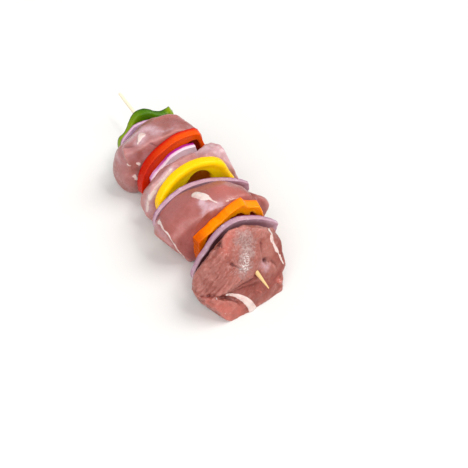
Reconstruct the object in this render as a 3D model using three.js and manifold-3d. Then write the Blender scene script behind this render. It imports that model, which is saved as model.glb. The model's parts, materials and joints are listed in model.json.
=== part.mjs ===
// A raw pork kebab: a bamboo skewer through four groups of a sweet pepper piece, a red onion petal and a
// chunk of pork. Sizes are in millimetres. The skewer runs along X with its point at +X, +Z is up, and the
// chunks rest on the plane z = 0.
import * as THREE from "three";
import { mergeVertices } from "three/addons/utils/BufferGeometryUtils.js";
import Module from "manifold-3d";

const wasm = await Module();
wasm.setup();

// Driving dimensions
const skewerLength = 254;
const skewerRadius = 1.5;
const pointLength = 15;
const pointRadius = 0.3;
const buttRound = 0.4;
const buttHeight = 24; // of the skewer's axis above the plane, at the blunt end
const tipHeight = 20;
const gap = 0.5; // left between neighbours, and round the skewer
const nestRadius = 70; // of the bowl shape that every cut and every pressed face of pork follows
const footSink = 3; // how much of a chunk's round underside the plane flattens
const cutClearance = 1; // least height of a vegetable cut above the plane
const lump = { size: 0.9, length: 34 };

// Fineness of the faceted solids
const cutFineness = { columns: 28, rings: 4, rimRows: 2 };
const chunkFineness = { columns: 30, rows: 15 };
const roundSides = 12;

const turn = 2 * Math.PI;
const axisSlope = (tipHeight - buttHeight) / skewerLength;
const axisHeight = (x) => (buttHeight + tipHeight) / 2 + x * axisSlope;

const finishes = {
  bamboo: { color: 0xe3c48c, roughness: 0.65 },
  pork: { color: 0xb8706c, roughness: 0.4 },
  onion: { color: 0xcfaecb, roughness: 0.35 },
  green: { color: 0x4f8a12, roughness: 0.25 },
  red: { color: 0xcf2a0c, roughness: 0.25 },
  yellow: { color: 0xf2cc05, roughness: 0.25 },
  orange: { color: 0xf58a08, roughness: 0.25 },
};

// Vegetable cuts. x is where the back face meets the skewer, y and z the middle of the outline, half and
// rise its half sizes, roll its turn about X in degrees, and square the outline's exponent. bowl scales the
// shared bowl shape, which opens towards the point. lean narrows the front outline, edge rounds the rim,
// wave bends the wall to and fro along half, once in each waveLength, and lobes make the outline bulge.
const flatWall = { bowl: 1, wave: 0, waveLength: 30, wavePhase: 0, lobes: { count: 3, depth: 0, peak: 0 } };
const pepperWall = { ...flatWall, thick: 7.5, lean: 0.94, edge: 0.8 };
const onionWall = { ...flatWall, thick: 2.8, lean: 0.98, edge: 0.4 };
const cuts = {
  pepper_green: {
    ...pepperWall, x: -60.5, y: -0.5, z: 23, half: 24, rise: 20, roll: 2, square: 2.2,
    thick: 6, bowl: 0.6, wave: 1.6, wavePhase: -0.4, lobes: { count: 5, depth: 0.09, peak: 182 },
    finish: "green",
  },
  onion_back: {
    ...onionWall, x: -54, y: -3.4, z: 21.5, half: 22.4, rise: 15.4, roll: 8, square: 2.2, bowl: 0.6,
    after: "pepper_green", finish: "onion",
  },
  pepper_red: {
    ...pepperWall, x: -14, y: -2.5, z: 24.5, half: 28, rise: 19.5, roll: 29, square: 2.7,
    lobes: { count: 3, depth: 0.02, peak: 80 }, finish: "red",
  },
  onion_short: {
    ...onionWall, x: -6, y: 0, z: 23.5, half: 20, rise: 14.5, roll: 27, square: 3.6, thick: 5,
    after: "pepper_red", finish: "onion",
  },
  pepper_yellow: {
    ...pepperWall, x: 20.5, y: 0, z: 24, half: 29.5, rise: 21.5, roll: 9, square: 2.6,
    thick: 8, bowl: 1.5, lobes: { count: 4, depth: 0.02, peak: 45 }, finish: "yellow",
  },
  onion_middle: {
    ...onionWall, x: 36.5, y: -2, z: 21.5, half: 35, rise: 18, roll: -2, square: 2,
    after: "pepper_yellow", finish: "onion",
  },
  pepper_orange: {
    ...pepperWall, x: 68, y: 1, z: 22, half: 23, rise: 17.5, roll: 25, square: 3.2,
    thick: 7, lobes: { count: 5, depth: 0.025, peak: 30 }, finish: "orange",
  },
  onion_front: {
    ...onionWall, x: 79, y: 0, z: 18.5, half: 31.5, rise: 16, roll: 14, square: 1.9,
    after: "pepper_orange", finish: "onion",
  },
};

// Chunks of pork. left, right and top are the outline's reach at the chunk's back, middle and front, square
// its exponent, and box that of the profile along the skewer. after and before name the cuts that press on
// the two ends. free, on the chunk with nothing before it, is its own front face: where that meets the
// skewer, and how it leans with height and turns with width. Each push moves the surface near a place, by
// an amount that fades over spread.
const chunks = {
  pork_back: {
    left: [-36, -39, -33], right: [23, 26, 26], top: [44, 48, 46], square: 3, box: 4,
    after: "onion_back", before: "pepper_red", seed: 1.3,
    pushes: [
      { at: [-32, -36, 34], by: [0, 6, -3], spread: 13 },
      { at: [-34, -38, 10], by: [0, -2, 0], spread: 12 },
    ],
  },
  pork_thin: {
    left: [-33, -36, -36], right: [33, 34, 31], top: [37, 44, 44], square: 2.6, box: 4,
    after: "onion_short", before: "pepper_yellow", seed: 2.1,
    pushes: [
      { at: [10, 34, 38], by: [0, -3, -3], spread: 12 },
      { at: [8, -30, 34], by: [0, 6, -6], spread: 15 },
    ],
  },
  pork_middle: {
    left: [-39, -37, -28], right: [31, 32, 31], top: [40, 43, 42], square: 3, box: 4.2,
    after: "onion_middle", before: "pepper_orange", seed: 3.7,
    pushes: [
      { at: [60, 34, 19], by: [0, 4.5, 0], spread: 10 },
      { at: [56, -30, 38], by: [0, 5, -3], spread: 12 },
    ],
  },
  pork_front: {
    left: [-32, -36, -33], right: [25, 26, 24], top: [33, 42, 41], square: 2.7, box: 4.2,
    after: "onion_front", free: { x: 113, lean: 0.55, yaw: 0.14 }, seed: 4.9,
    pushes: [
      { at: [100, 24, 40], by: [0, -4, -5], spread: 13 },
      { at: [96, -30, 36], by: [0, 5, -5], spread: 13 },
    ],
  },
};

// The point of a unit superellipse in the direction of an angle.
function rounded(angle, exponent) {
  const [c, s] = [Math.cos(angle), Math.sin(angle)];
  const radius = (Math.abs(c) ** exponent + Math.abs(s) ** exponent) ** (-1 / exponent);
  return [c * radius, s * radius];
}

// The value at a share of the way along, on the parabola through a back, a middle and a front value.
function through([back, middle, front], share) {
  const rest = 1 - share;
  return back * rest * (1 - 2 * share) + 4 * middle * share * rest + front * share * (2 * share - 1);
}

// The x of a cut's back face at a place across the skewer, and of its front face.
function backFace(cut, y, z) {
  const roll = THREE.MathUtils.degToRad(cut.roll);
  const across = (y - cut.y) * Math.cos(roll) + (z - cut.z) * Math.sin(roll);
  const ripple = cut.wave * Math.sin((turn * across) / cut.waveLength + cut.wavePhase);
  const radius = Math.hypot(y, z - axisHeight(cut.x));
  const own = cut.x + (cut.bowl * radius ** 2) / (2 * nestRadius) + ripple;
  return cut.after ? Math.max(own, frontFace(cuts[cut.after], y, z) + gap) : own;
}

function frontFace(cut, y, z) {
  return backFace(cut, y, z) + cut.thick;
}

// A closed surface of rings, from a pole at the back to a pole at the front.
function ringSurface(rows, columns, pointAt) {
  const points = [pointAt(0, 0)];
  for (let row = 1; row < rows; row++)
    for (let column = 0; column < columns; column++) points.push(pointAt(row, (turn * column) / columns));
  points.push(pointAt(rows, 0));
  const at = (row, column) => 1 + (row - 1) * columns + (column % columns);
  const last = points.length - 1;
  const faces = [];
  for (let column = 0; column < columns; column++) {
    faces.push(0, at(1, column + 1), at(1, column));
    for (let row = 1; row < rows - 1; row++) {
      faces.push(at(row, column), at(row + 1, column + 1), at(row + 1, column));
      faces.push(at(row, column), at(row, column + 1), at(row + 1, column + 1));
    }
    faces.push(last, at(rows - 1, column), at(rows - 1, column + 1));
  }
  return new THREE.BufferGeometry()
    .setAttribute("position", new THREE.Float32BufferAttribute(points.flat(), 3))
    .setIndex(faces);
}

// A vegetable cut: its back face from the middle outwards, the rim, and the front face back to the middle.
function cutSurface(cut) {
  const { columns, rings, rimRows } = cutFineness;
  const { count, depth: lobeDepth, peak } = cut.lobes;
  const rows = 2 * rings + rimRows + 1;
  const [roll, peakAngle] = [cut.roll, peak].map(THREE.MathUtils.degToRad);
  return ringSurface(rows, columns, (row, angle) => {
    const depth = THREE.MathUtils.clamp((row - rings) / (rimRows + 1), 0, 1);
    const size = Math.min(row, rows - row, rings) / rings;
    const bulge = cut.edge * Math.sin(Math.PI * depth);
    const lobe = 1 + lobeDepth * Math.cos(count * (angle - peakAngle));
    const scale = size * lobe * (1 + (cut.lean - 1) * depth);
    const [c, s] = rounded(angle, cut.square);
    const across = (cut.half * scale + bulge) * c;
    const upward = (cut.rise * scale + bulge) * s;
    const y = cut.y + across * Math.cos(roll) - upward * Math.sin(roll);
    const z = Math.max(cut.z + across * Math.sin(roll) + upward * Math.cos(roll), cutClearance);
    return [backFace(cut, y, z) + cut.thick * depth, y, z];
  });
}

// The x of a chunk's surface, at a share of the way from its back face to its front face.
function chunkX(chunk, share, y, z) {
  const back = frontFace(cuts[chunk.after], y, z) + gap;
  const { free } = chunk;
  const front = free
    ? free.x + free.lean * (axisHeight(free.x) - z) - free.yaw * y
    : backFace(cuts[chunk.before], y, z) - gap;
  return back + (front - back) * share;
}

// How far the meat's unevenness moves a point outwards.
function lumpAt(x, y, z, seed) {
  const wave = turn / lump.length;
  return (
    lump.size *
    (Math.sin(wave * (x + 1.3 * y) + seed) + Math.sin(wave * 1.7 * (z - 0.6 * y) + 2 * seed) +
      0.6 * Math.sin(wave * 2.3 * (y + 0.5 * x) + 3 * seed))
  );
}

function chunkSurface(chunk) {
  const { columns, rows } = chunkFineness;
  return ringSurface(rows, columns, (row, angle) => {
    const [behind, reach] = rounded((Math.PI * row) / rows, chunk.box);
    const share = (1 - behind) / 2;
    const [left, right, top] = [chunk.left, chunk.right, chunk.top].map((limits) => through(limits, share));
    const [across, upward] = rounded(angle, chunk.square).map((side) => side * reach);
    let y = (right + left) / 2 + ((right - left) / 2) * across;
    let z = (top - footSink) / 2 + ((top + footSink) / 2) * upward;
    let x = chunkX(chunk, share, y, z);
    const swell = reach * lumpAt(x, y, z, chunk.seed);
    y += swell * across;
    z += swell * upward;
    for (const { at, by, spread } of chunk.pushes) {
      const fade = Math.exp(-((x - at[0]) ** 2 + (y - at[1]) ** 2 + (z - at[2]) ** 2) / spread ** 2);
      y += fade * by[1];
      z += fade * by[2];
    }
    z = Math.max(z, 0);
    x = chunkX(chunk, share, y, z);
    return [x, y, z];
  });
}

function solidOf(geometry) {
  const bare = geometry.clone();
  bare.deleteAttribute("normal");
  bare.deleteAttribute("uv");
  const merged = mergeVertices(bare);
  const vertProperties = new Float32Array(merged.attributes.position.array);
  const triVerts = new Uint32Array(merged.index.array);
  return new wasm.Manifold(new wasm.Mesh({ numProp: 3, vertProperties, triVerts }));
}

function geometryOf(solid) {
  const mesh = solid.getMesh();
  return new THREE.BufferGeometry()
    .setAttribute("position", new THREE.BufferAttribute(mesh.vertProperties, 3))
    .setIndex(new THREE.BufferAttribute(mesh.triVerts, 1));
}

// Turns a shape made along Y so that it lies on the skewer's axis, its +Y end at the point.
function onAxis(geometry) {
  return geometry
    .rotateZ(-Math.PI / 2)
    .rotateY(-Math.atan(axisSlope))
    .translate(0, 0, axisHeight(0));
}

function skewerGeometry() {
  const half = skewerLength / 2;
  const profile = [
    [0, -half],
    [skewerRadius - buttRound, -half],
    [skewerRadius, -half + buttRound],
    [skewerRadius, half - pointLength],
    [pointRadius, half - pointRadius],
    [0, half],
  ];
  return onAxis(new THREE.LatheGeometry(profile.map(([r, y]) => new THREE.Vector2(r, y)), roundSides));
}

const boreRadius = (skewerRadius + gap) / Math.cos(Math.PI / roundSides);
const bore = solidOf(onAxis(new THREE.CylinderGeometry(boreRadius, boreRadius, skewerLength, roundSides)));

const kebab = new THREE.Group();

function addPiece(name, finish, geometry) {
  const material = new THREE.MeshStandardMaterial({ ...finishes[finish], metalness: 0 });
  const mesh = new THREE.Mesh(geometry, material);
  mesh.name = name;
  kebab.add(mesh);
}

function addPierced(name, finish, geometry) {
  addPiece(name, finish, geometryOf(solidOf(geometry).subtract(bore)));
}

addPiece("skewer", "bamboo", skewerGeometry());
for (const [name, cut] of Object.entries(cuts)) addPierced(name, cut.finish, cutSurface(cut));
for (const [name, chunk] of Object.entries(chunks)) addPierced(name, "pork", chunkSurface(chunk));

// The origin is the middle of the underside of the whole.
const box = new THREE.Box3().setFromObject(kebab);
const middle = box.getCenter(new THREE.Vector3());
kebab.position.set(-middle.x, -middle.y, -box.min.z);

export default kebab;
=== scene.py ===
import json
import math

import bmesh
import bpy
import numpy as np
from mathutils import Matrix, Vector
from mathutils.kdtree import KDTree

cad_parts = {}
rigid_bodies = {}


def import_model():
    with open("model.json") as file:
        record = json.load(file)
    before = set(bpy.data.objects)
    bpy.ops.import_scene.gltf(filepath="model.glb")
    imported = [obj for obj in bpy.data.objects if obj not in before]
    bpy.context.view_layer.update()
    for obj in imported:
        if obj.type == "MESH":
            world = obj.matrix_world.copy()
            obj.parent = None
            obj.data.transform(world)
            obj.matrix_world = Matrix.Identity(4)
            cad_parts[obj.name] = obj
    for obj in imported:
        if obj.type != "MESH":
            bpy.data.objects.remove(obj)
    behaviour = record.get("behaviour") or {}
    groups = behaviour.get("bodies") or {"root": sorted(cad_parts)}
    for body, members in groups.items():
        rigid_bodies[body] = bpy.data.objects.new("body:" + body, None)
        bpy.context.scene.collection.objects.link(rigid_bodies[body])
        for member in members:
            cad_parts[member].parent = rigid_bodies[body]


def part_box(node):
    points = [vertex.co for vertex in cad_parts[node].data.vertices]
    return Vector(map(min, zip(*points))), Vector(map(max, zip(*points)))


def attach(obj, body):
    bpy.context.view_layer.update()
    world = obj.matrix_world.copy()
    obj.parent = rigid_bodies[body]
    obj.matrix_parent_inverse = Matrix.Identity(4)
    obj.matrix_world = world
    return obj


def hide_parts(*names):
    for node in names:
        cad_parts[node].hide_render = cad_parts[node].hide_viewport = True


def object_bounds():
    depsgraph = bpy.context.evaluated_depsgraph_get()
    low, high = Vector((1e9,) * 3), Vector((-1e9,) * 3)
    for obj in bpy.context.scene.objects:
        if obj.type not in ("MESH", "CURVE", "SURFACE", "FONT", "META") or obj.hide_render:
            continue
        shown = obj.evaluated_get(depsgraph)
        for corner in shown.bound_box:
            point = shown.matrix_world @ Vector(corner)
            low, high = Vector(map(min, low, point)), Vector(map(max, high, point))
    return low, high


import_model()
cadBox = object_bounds()

# Shapes are worked out in millimetres and written to the meshes in metres.
mm = 0.001


def boxOf(node):
    low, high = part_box(node)
    return np.array(low) / mm, np.array(high) / mm


skewerLow, skewerHigh = boxOf("skewer")
axisMiddle = ((skewerLow + skewerHigh) / 2)[1:]
foot = (skewerLow + skewerHigh) / 2 * (1, 1, 0)  # the point of the floor under the skewer's middle
skewerSlope = -4 / 254


def skewerHeight(x):
    return axisMiddle[1] + (x - foot[0]) * skewerSlope


def placeIn(node, percents):
    # percents run from 0 at the low side of the node's box to 100 at its high side
    low, high = boxOf(node)
    return low + (high - low) * (np.array(percents) / 100)


def linear(red, green, blue):
    # A colour given as 0 to 255 on the screen
    return tuple((c / 255) ** 2.2 for c in (red, green, blue))


class Nodes:
    # Adds nodes to a tree. A socket given for an input is linked, anything else is set as its value.
    def __init__(self, tree):
        self.tree = tree

    def fill(self, node, inputs):
        for name, value in inputs.items():
            if isinstance(value, bpy.types.NodeSocket):
                self.tree.links.new(value, node.inputs[name])
            else:
                node.inputs[name].default_value = value
        return node

    def add(self, kind, inputs, output=0, **settings):
        node = self.tree.nodes.new(kind)
        for name, value in settings.items():
            setattr(node, name, value)
        return self.fill(node, inputs).outputs[output]

    def math(self, operation, *values):
        return self.add("ShaderNodeMath", dict(enumerate(values)), operation=operation)

    def plus(self, first, second):
        return self.math("ADD", first, second)

    def minus(self, first, second):
        return self.math("SUBTRACT", first, second)

    def times(self, first, second):
        return self.math("MULTIPLY", first, second)

    def over(self, first, second):
        return self.math("DIVIDE", first, second)

    def vector(self, operation, *values):
        output = "Value" if operation == "DOT_PRODUCT" else "Vector"
        return self.add("ShaderNodeVectorMath", dict(enumerate(values)), output, operation=operation)

    def scaled(self, vector, scale):
        return self.add("ShaderNodeVectorMath", {0: vector, "Scale": scale}, "Vector", operation="SCALE")

    def span(self, value, low, high, to=(0, 1), smooth=False):
        inputs = {"Value": value, "From Min": low, "From Max": high, "To Min": to[0], "To Max": to[1]}
        return self.add("ShaderNodeMapRange", inputs, interpolation_type="SMOOTHSTEP" if smooth else "LINEAR")

    def noise(self, place, size, detail=2.0, roughness=0.5, distortion=0.0):
        inputs = {"Vector": place, "Scale": 1 / size, "Detail": detail, "Roughness": roughness}
        return self.add("ShaderNodeTexNoise", {**inputs, "Distortion": distortion})

    def blend(self, share, first, second):
        inputs = {0: share}
        for index, colour in ((6, first), (7, second)):
            isSocket = isinstance(colour, bpy.types.NodeSocket)
            inputs[index] = colour if isSocket else (*linear(*colour), 1)
        return self.add("ShaderNodeMix", inputs, 2, data_type="RGBA")

    def tint(self, colour, other, value, low, high, most=1):
        # The other colour comes in as the value goes from low to high
        return self.blend(self.span(value, low, high, (0, most), True), colour, other)

    def attribute(self, name):
        return self.add("ShaderNodeAttribute", {}, "Fac", attribute_name=name)

    def place(self):
        # Object coordinates in millimetres
        return self.scaled(self.add("ShaderNodeTexCoord", {}, "Object"), 1 / mm)

    def bump(self, height, strength, distance):
        return self.add("ShaderNodeBump", {"Height": height, "Strength": strength, "Distance": distance})


def newLook(name):
    look = bpy.data.materials.new(name)
    look.use_nodes = True
    return look, Nodes(look.node_tree), look.node_tree.nodes["Principled BSDF"]


# Camera, lights and floor. Places are millimetres, the camera's from the foot of the skewer's middle.
view = {"from": (301.25, -104.53, 250.2), "azimuth": 64.14, "elevation": 42.74, "roll": -2.87, "lens": 41.73}
lights = {
    "key": {"at": (120, 420, 620), "size": 46, "watts": 1.95, "colour": (1, 0.985, 0.96)},
    "glint": {"at": (420, 300, 700), "size": 9, "watts": 0.4, "colour": (1, 1, 1)},
    "front": {"at": (420, -300, 400), "size": 60, "watts": 2.0, "colour": (1, 0.99, 0.98)},
}
lightTarget = (0, 0, 20)
floorLook = {"size": 40000, "drop": 0.15, "colour": (0.74, 0.725, 0.705), "roughness": 0.8}
skyLook = {"colour": (0.95, 0.97, 1), "strength": 0.5, "seen": 1.08}


def makeStage():
    scene = bpy.context.scene
    camera = bpy.data.objects.new("camera", bpy.data.cameras.new("camera"))
    scene.collection.objects.link(camera)
    camera.data.lens = view["lens"]
    camera.data.clip_start = 0.01
    turned = (
        Matrix.Rotation(math.radians(view["azimuth"]), 4, "Z")
        @ Matrix.Rotation(math.radians(90 - view["elevation"]), 4, "X")
        @ Matrix.Rotation(math.radians(view["roll"]), 4, "Z")
    )
    camera.matrix_world = Matrix.Translation(Vector((foot + view["from"]) * mm)) @ turned
    scene.camera = camera

    for name, light in lights.items():
        lamp = bpy.data.lights.new(name, "SUN")
        lamp.angle = math.radians(light["size"])
        lamp.energy = light["watts"]
        lamp.color = light["colour"]
        holder = bpy.data.objects.new(name, lamp)
        holder.location = Vector(light["at"]) * mm
        way = Vector(lightTarget) * mm - holder.location
        holder.rotation_euler = way.to_track_quat("-Z", "Y").to_euler()
        scene.collection.objects.link(holder)

    world = bpy.data.worlds.new("room")
    world.use_nodes = True
    n = Nodes(world.node_tree)
    # the room lights softly, but is seen as white as the floor
    ray = n.add("ShaderNodeLightPath", {}, "Is Camera Ray")
    n.fill(world.node_tree.nodes["Background"], {
        "Color": (*skyLook["colour"], 1), "Strength": n.span(ray, 0, 1, (skyLook["strength"], skyLook["seen"])),
    })
    scene.world = world
    scene.view_settings.view_transform = "Standard"

    half, level = floorLook["size"] / 2 * mm, -floorLook["drop"] * mm
    mesh = bpy.data.meshes.new("floor")
    corners = [(-half, -half, level), (half, -half, level), (half, half, level), (-half, half, level)]
    mesh.from_pydata(corners, [], [(0, 1, 2, 3)])
    floor = bpy.data.objects.new("floor", mesh)
    scene.collection.objects.link(floor)
    look, n, shader = newLook("floor")
    n.fill(shader, {"Base Color": (*floorLook["colour"], 1), "Roughness": floorLook["roughness"]})
    mesh.materials.append(look)


makeStage()
print("stage ready")

noiseTable = np.random.RandomState(11).permutation(256)
noiseSlopes = np.random.RandomState(12).normal(size=(256, 3))
noiseSlopes /= np.linalg.norm(noiseSlopes, axis=1)[:, None]


def noiseAt(points, size, seed=0.0):
    # Smooth noise from about -1 to 1, with bumps of about this size
    scaled = np.asarray(points, float) / size + (seed * 3.1, seed * 5.7, seed * 1.9)
    cell = np.floor(scaled).astype(int)
    inside = scaled - cell
    ease = inside**3 * (inside * (inside * 6 - 15) + 10)
    total = np.zeros(len(scaled))
    for corner in np.ndindex(2, 2, 2):
        x, y, z = (cell + corner).T & 255
        pick = noiseTable[(x + noiseTable[(y + noiseTable[z]) & 255]) & 255]
        weight = np.prod(np.where(corner, ease, 1 - ease), axis=1)
        total += weight * ((inside - corner) * noiseSlopes[pick]).sum(axis=1)
    return total * 1.7


def heights(points, noises):
    # The sum of several noises, each (size, height) with its seed
    return sum(height * noiseAt(points, size, seed) for (size, height), seed in noises.items())


def smoothStep(values, low, high):
    share = np.clip((values - low) / (high - low), 0, 1)
    return share * share * (3 - 2 * share)


def spline(a, b, c, d, steps):
    # Points on the smooth curve from b to c, which comes from a and goes on to d
    return [
        0.5 * (2 * b + (c - a) * t + (2 * a - 5 * b + 4 * c - d) * t**2 + (3 * b - a - 3 * c + d) * t**3)
        for t in np.linspace(0, 1, steps, endpoint=False)
    ]


def smoothPath(points):
    # A smooth line through the points
    padded = np.vstack([2 * points[0] - points[1], points, 2 * points[-1] - points[-2]])
    parts = [spline(*padded[index:index + 4], 8) for index in range(len(points) - 1)]
    return np.vstack(parts + [points[-1]])


def nearLine(points, line):
    # The distance of each point from the line, and how far along the line it is, from 0 to 1
    best = np.full(len(points), 1e9)
    along = np.zeros(len(points))
    for index, (a, b) in enumerate(zip(line, line[1:])):
        way = b - a
        share = np.clip((points - a) @ way / max(way @ way, 1e-9), 0, 1)
        gone = np.linalg.norm(points - a - share[:, None] * way, axis=1)
        closer = gone < best
        best = np.where(closer, gone, best)
        along = np.where(closer, (index + share) / (len(line) - 1), along)
    return best, along


def readVectors(rows, name):
    values = np.empty(len(rows) * 3, np.float32)
    rows.foreach_get(name, values)
    return values.reshape(-1, 3).astype(float)


def readPlaces(mesh):
    return readVectors(mesh.vertices, "co") / mm


def readNormals(mesh):
    return readVectors(mesh.vertex_normals, "vector")


def writePlaces(mesh, points):
    mesh.vertices.foreach_set("co", (points * mm).astype(np.float32).ravel())
    mesh.update()


def writeMark(mesh, name, values):
    layer = mesh.attributes.get(name) or mesh.attributes.new(name, "FLOAT", "POINT")
    layer.data.foreach_set("value", np.asarray(values, np.float32))


def newPiece(node):
    piece = bpy.data.objects.new(node + "_looks", bpy.data.meshes.new(node + "_looks"))
    bpy.context.scene.collection.objects.link(piece)
    return piece


def settle(piece):
    # Turns the piece's modifiers into its own mesh
    depsgraph = bpy.context.evaluated_depsgraph_get()
    mesh = bpy.data.meshes.new_from_object(piece.evaluated_get(depsgraph), depsgraph=depsgraph)
    piece.modifiers.clear()
    piece.data = mesh


def finishPiece(piece, node, look):
    piece.data.materials.clear()
    piece.data.materials.append(look)
    piece.data.polygons.foreach_set("use_smooth", [True] * len(piece.data.polygons))
    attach(piece, "root")
    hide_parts(node)


def newTree(name, inputs):
    # A geometry tree with these named inputs, given with their usual values
    kinds = {tuple: "Vector", int: "Int", float: "Float", type(None): "Material"}
    tree = bpy.data.node_groups.new(name, "GeometryNodeTree")
    for way in ("INPUT", "OUTPUT"):
        tree.interface.new_socket("Geometry", in_out=way, socket_type="NodeSocketGeometry")
    for label, value in inputs.items():
        kind = "NodeSocket" + kinds[type(value)]
        socket = tree.interface.new_socket(label, in_out="INPUT", socket_type=kind)
        if value is not None:
            socket.default_value = value
    return Nodes(tree), tree.nodes.new("NodeGroupInput").outputs


def endTree(n, geometry, material):
    geometry = n.add("GeometryNodeRealizeInstances", {"Geometry": geometry})
    geometry = n.add("GeometryNodeSetMaterial", {"Geometry": geometry, "Material": material})
    n.fill(n.tree.nodes.new("NodeGroupOutput"), {"Geometry": geometry})
    return n.tree


def runTree(piece, tree, values):
    # Runs the tree on the piece with these inputs, and keeps the result as a plain mesh
    modifier = piece.modifiers.new(tree.name, "NODES")
    modifier.node_group = tree
    names = {item.name: item.identifier for item in tree.interface.items_tree if item.in_out == "INPUT"}
    for name, value in values.items():
        modifier[names[name]] = value
    settle(piece)


# Pepper and onion walls. The outline goes round the wall as y and z from the foot, and a point given twice is a
# corner. x is the back of the wall at the skewer, bowl how much it curves, thick its thickness, skinEdge and
# fleshEdge the rounding of its rim, jag how far the knife wandered, and hollow a sunk place in the front. The
# side colour comes in between two places of y, and at the tip between two more: on the green pepper a paler
# tone, on the onion_short less skin, on the red pepper a darker end, and on the orange pepper and the
# onion_front painted shade.
nest = 70
wallGap = 0.4
pressGap = 0.25
wallBase = {
    "columns": 360, "bowl": 1, "wave": 0, "waveLength": 30, "wavePhase": 0, "roll": 0, "lean": 0.96,
    "skinEdge": 0.35, "fleshEdge": 1.2, "jag": 0.25, "after": None, "taper": 0, "hollow": None,
    "hollowDepth": 3, "hollowEdge": 1.4, "hollowJag": 0.5, "lobe": None, "tip": None,
}
onionBase = {
    **wallBase, "thick": 2.7, "lean": 0.985, "skinEdge": 0.2, "fleshEdge": 0.35, "jag": 0.16, "taper": 0.25,
}
pepperGreen = {
    **wallBase, "x": -60.5, "roll": 2, "thick": 6, "bowl": 0.6, "wave": 1.6, "wavePhase": -0.4,
    "fleshEdge": 2.6, "lobe": (-2, -19), "tip": (13, 18),
    "outline": [
        (22.5, 27), (21.9, 34.6), (21.9, 34.6), (19, 39.4), (19, 39.4), (13, 38.2), (7.7, 39.4), (2.6, 42.2),
        (-2.7, 43.1), (-9.3, 41.2), (-14.3, 36.9), (-17, 32.4), (-20.5, 29), (-24.3, 26.6), (-26.6, 21.8),
        (-26.2, 15), (-21, 8), (-12, 3), (4, 2.5), (16, 8), (21.5, 18),
    ],
}
onionBack = {
    **onionBase, "x": -54, "roll": 8, "bowl": 0.6, "after": "pepper_green",
    "outline": [
        (19, 26), (15, 32.5), (6, 35.6), (-3, 36.8), (-11.3, 36.2), (-18.2, 33), (-23.6, 28.9), (-25.8, 23),
        (-23, 15), (-13, 8), (2, 6), (13, 11), (19, 18),
    ],
}
pepperRed = {
    **wallBase, "x": -14, "roll": 29, "thick": 7.5, "fleshEdge": 0.9, "lobe": (12, -26), "hollowDepth": 4,
    "hollowEdge": 1,
    "outline": [
        (24.6, 30.4), (22.8, 39.1), (20.2, 46.2), (20.2, 46.2), (17.6, 47.8), (12.2, 47.8), (8.2, 47),
        (2.5, 45.1), (-4.3, 41.9), (-10.5, 38.3), (-16.2, 34.9), (-21.3, 30.6), (-25.9, 25.3), (-29, 17.9),
        (-30.2, 11.6), (-30.2, 11.6), (-23, 6), (-16, 2.5), (-6, 1.5), (6, 4), (16, 9), (23, 18),
    ],
    "hollow": [
        (21, 29), (20, 36), (16.5, 41.5), (8, 38), (-2, 33), (-12, 26), (-17, 18), (-15, 9), (-4, 7), (8, 9),
        (18, 18),
    ],
}
onionShort = {
    **onionBase, "x": -6, "roll": 27, "thick": 5, "lobe": (-4, -20), "after": "pepper_red", "taper": 0,
    "fleshEdge": 0.7,
    "outline": [
        (15.5, 33), (14.2, 39.3), (14.2, 39.3), (7.4, 39), (0.8, 37.1), (-4.5, 34.6), (-9.2, 31), (-14.1, 27.5),
        (-18.1, 25), (-21.4, 21.9), (-21.4, 21.9), (-20.5, 17), (-16, 9), (-8, 6), (4, 6), (13, 11), (17, 22),
    ],
}
pepperYellow = {
    **wallBase, "x": 20.5, "roll": 9, "thick": 8, "bowl": 1.5, "fleshEdge": 3.6, "skinEdge": 0.6,
    "hollowDepth": 5, "hollowEdge": 1.3, "hollowJag": 0.25,
    "outline": [
        (29.3, 23.2), (26.3, 30.6), (23.6, 36.9), (20.6, 42.2), (16.2, 45.4), (10.9, 47.2), (4.9, 48),
        (-1.2, 47.6), (-7.3, 46), (-14.7, 42.4), (-20.7, 38.3), (-25.1, 34.8), (-29, 29.5), (-29.8, 24),
        (-28, 14), (-22, 7), (-10, 2.5), (6, 2.2), (19, 6), (27, 14),
    ],
    "hollow": [
        (13.2, 27), (12.6, 33), (9, 38.6), (4, 41), (-1, 39.4), (-5, 34), (-9, 27), (-12, 18), (-6, 10), (6, 9),
        (12, 17),
    ],
}
onionMiddle = {
    **onionBase, "x": 35.4, "roll": -2, "thick": 3.8, "after": "pepper_yellow",
    "outline": [
        (33, 23), (33, 23), (32.6, 28), (32.6, 28), (27.4, 31), (19.3, 33.7), (13.4, 35.3), (7.4, 36.7),
        (0.4, 37.8), (-6.9, 38.5), (-12.5, 38.4), (-18.3, 37.3), (-23.3, 36), (-28.4, 34.2), (-32.2, 32.4),
        (-35.3, 29.8), (-37.3, 24.5), (-36.5, 18), (-30, 9), (-15, 4), (5, 4), (22, 9), (30, 16),
    ],
}
# the orange's side colour is painted shade on its left end
pepperOrange = {
    **wallBase, "x": 68, "roll": 25, "thick": 7, "fleshEdge": 0.9, "jag": 0.5, "lobe": (-9, -20),
    "hollowDepth": 3.5, "hollowEdge": 1, "hollowJag": 0.8,
    "outline": [
        (25.2, 26.5), (23.8, 33.5), (22.6, 37), (22.6, 37), (15.6, 39), (12.2, 43), (12.2, 43), (10, 42.8),
        (7.1, 40.6), (2.4, 37.3), (-0.9, 34.9), (-4.3, 32.2), (-7.9, 30.6), (-11.6, 28.2), (-17.4, 26.2),
        (-21.2, 24.8), (-21.2, 24.8), (-21.8, 15), (-20.8, 5), (-15, 1.8), (0, 1.6), (15, 6), (22, 13),
        (25, 20),
    ],
    "hollow": [
        (20, 24), (20, 31), (15.6, 33.4), (14.6, 31), (9.4, 34.4), (4.1, 32.6), (1, 30.8), (-4.4, 29.2),
        (-6.6, 27.8), (-13, 25.6), (-16, 18), (-15, 9), (-4, 6), (8, 8), (17, 15),
    ],
}
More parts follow.
